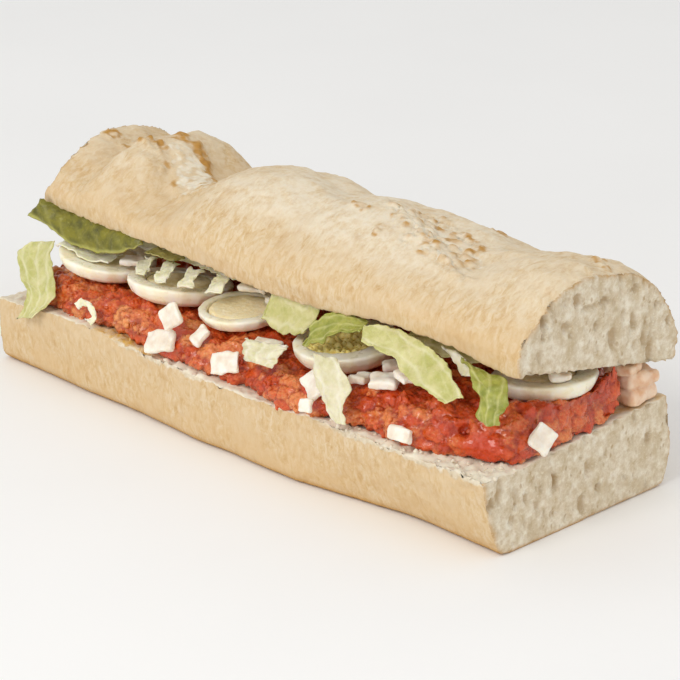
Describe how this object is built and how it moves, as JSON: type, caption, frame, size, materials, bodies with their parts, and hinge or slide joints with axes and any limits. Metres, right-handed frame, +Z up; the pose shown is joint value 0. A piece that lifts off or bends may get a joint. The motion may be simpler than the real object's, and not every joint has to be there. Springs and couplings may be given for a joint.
{
  "type": "filled baguette sandwich",
  "caption": "Half baguette sandwich with a crusty slashed top, filled with seasoned minced meat, boiled egg slices, lettuce and chopped onion, both ends cut straight.",
  "frame": {"origin": "middle of the bounding box's base, on the flat base of the lower half", "axes": "X runs along the loaf, with the end cut beside the last egg slice at +X. The open front, where the filling shows, faces -Y. Z is up."},
  "size_m": [0.2324, 0.0948, 0.0824],
  "materials": {
    "bread": "floury baked crust over an open pale crumb",
    "mince": "moist, fine-grained and glossy with sauce",
    "egg_white": "smooth boiled egg white, satin",
    "egg_yolk": "crumbly hard-boiled yolk, matte",
    "lettuce_green": "green leaf, satin",
    "lettuce_pale": "pale inner leaf, satin",
    "onion": "moist raw onion, slightly translucent"
  },
  "bodies": {
    "root": {"bread_lower": "bread", "bread_upper": "bread", "egg_1_white": "egg_white", "egg_1_yolk": "egg_yolk", "egg_2_white": "egg_white", "egg_2_yolk": "egg_yolk", "egg_3_white": "egg_white", "egg_3_yolk": "egg_yolk", "egg_4_white": "egg_white", "egg_4_yolk": "egg_yolk", "egg_5_white": "egg_white", "egg_5_yolk": "egg_yolk", "leaf_back_left": "lettuce_pale", "leaf_back_middle": "lettuce_pale", "leaf_back_right": "lettuce_pale", "leaf_curl": "lettuce_pale", "leaf_dark_end": "lettuce_green", "leaf_drape": "lettuce_pale", "leaf_frill": "lettuce_pale", "leaf_green_front": "lettuce_green", "leaf_middle": "lettuce_pale", "leaf_olive": "lettuce_green", "leaf_over_egg": "lettuce_pale", "leaf_pale_end": "lettuce_pale", "leaf_scrap": "lettuce_pale", "leaf_shred_end": "lettuce_pale", "leaf_shred_far": "lettuce_pale", "leaf_shred_left": "lettuce_pale", "leaf_shred_middle": "lettuce_pale", "leaf_shred_right": "lettuce_pale", "leaf_strip": "lettuce_pale", "mince": "mince", "onion_01": "onion", "onion_02": "onion", "onion_03": "onion", "onion_04": "onion", "onion_05": "onion", "onion_06": "onion", "onion_07": "onion", "onion_08": "onion", "onion_09": "onion", "onion_10": "onion", "onion_11": "onion", "onion_12": "onion", "onion_13": "onion", "onion_14": "onion", "onion_15": "onion", "onion_16": "onion", "onion_17": "onion", "onion_18": "onion", "onion_19": "onion", "onion_20": "onion", "onion_21": "onion", "onion_22": "onion", "onion_23": "onion"}
  },
  "joints": []
}
